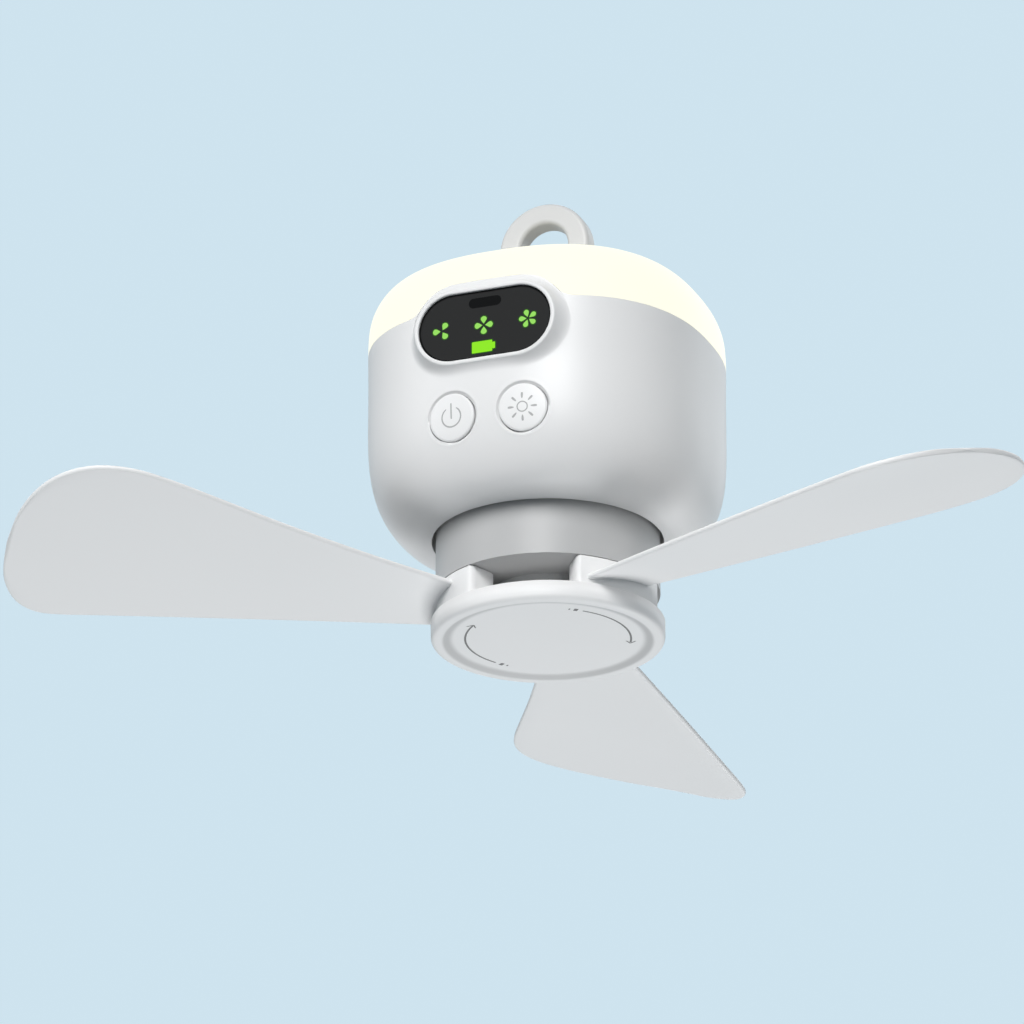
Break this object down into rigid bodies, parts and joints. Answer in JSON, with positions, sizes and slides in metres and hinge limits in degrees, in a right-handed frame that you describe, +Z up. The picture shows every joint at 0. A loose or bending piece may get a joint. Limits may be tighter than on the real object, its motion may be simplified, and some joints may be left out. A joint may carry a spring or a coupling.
{
  "type": "portable camping fan",
  "caption": "Hanging battery fan with removable blades, a locking cap, a lamp in its top, a small display, push buttons and a folding hang loop.",
  "frame": {"origin": "underside of the hang loop's arch, at the middle of the eye, where a hook bears", "axes": "+Z up along the fan's axis, -Y out of the display and buttons, +X to the right seen from the front"},
  "size_m": [0.322, 0.3095, 0.1524],
  "materials": {
    "white_housing": "satin white moulded plastic",
    "blade_plastic": "satin white moulded plastic, slightly textured",
    "lamp_diffuser": "milky translucent polycarbonate, lit from inside",
    "display_glass": "smoked black acrylic",
    "sensor_black": "dark infrared filter",
    "dark_plastic": "black moulded plastic",
    "circuit_board": "green solder mask",
    "lamp_board": "white solder mask",
    "led_lens": "phosphor lens",
    "icon_led": "green lens",
    "steel": "zinc plated steel",
    "aluminium": "die cast, bead blasted",
    "lamination": "stacked silicon steel",
    "copper": "enamelled copper wire",
    "magnet": "bonded magnet",
    "cell_wrap": "shrink-wrapped steel can",
    "nickel": "nickel strip"
  },
  "bodies": {
    "housing": {"housing_shell": "white_housing", "lamp_cover": "lamp_diffuser", "loop_seat": "white_housing", "loop_pin": "steel", "display_window": "display_glass", "charging_socket": "steel", "lamp_plate": "white_housing", "lamp_plate_screws": "steel", "pillar_screws": "steel", "lamp_led_board": "lamp_board", "lamp_leds": "led_lens", "sensor_lens": "sensor_black", "display_mask": "dark_plastic", "display_board": "circuit_board", "display_leds": "icon_led", "control_board": "circuit_board", "control_board_screws": "steel", "power_switch": "dark_plastic", "light_switch": "dark_plastic", "battery_cells": "cell_wrap", "battery_tabs": "nickel", "main_board": "circuit_board", "motor_plate": "white_housing", "motor_plate_screws": "steel", "motor_base": "aluminium", "motor_base_screws": "steel", "upper_bearing": "steel", "lower_bearing": "steel", "stator_core": "lamination", "stator_windings": "copper", "battery_holder": "dark_plastic"},
    "hang_loop": {"hang_loop": "white_housing"},
    "rotor": {"rotor_hub": "white_housing", "rotor_bell": "aluminium", "magnet_ring": "magnet", "motor_shaft": "steel", "shaft_clip": "steel", "hub_screws": "steel", "blade_1": "blade_plastic", "blade_2": "blade_plastic", "blade_3": "blade_plastic"},
    "lock_cap": {"lock_cap": "white_housing"},
    "power_button": {"power_button": "white_housing", "power_plunger": "dark_plastic"},
    "light_button": {"light_button": "white_housing", "light_plunger": "dark_plastic"}
  },
  "joints": [
    {"name": "rotor_spin", "type": "hinge", "parent": "housing", "child": "rotor", "pos_m": [0, 0, -0.1152], "axis": [0, 0, 1], "continuous": true},
    {"name": "cap_twist", "type": "hinge", "parent": "rotor", "child": "lock_cap", "pos_m": [0, 0, -0.1422], "axis": [0, 0, 1], "range_deg": [-45, 0]},
    {"name": "loop_fold", "type": "hinge", "parent": "housing", "child": "hang_loop", "pos_m": [0, 0, -0.0322], "axis": [-1, 0, 0], "range_deg": [0, 90]},
    {"name": "power_press", "type": "slide", "parent": "housing", "child": "power_button", "axis": [0, 1, 0], "range_m": [0, 0.0008], "stiffness_N_per_m": 300},
    {"name": "light_press", "type": "slide", "parent": "housing", "child": "light_button", "axis": [0, 1, 0], "range_m": [0, 0.0008], "stiffness_N_per_m": 300}
  ]
}
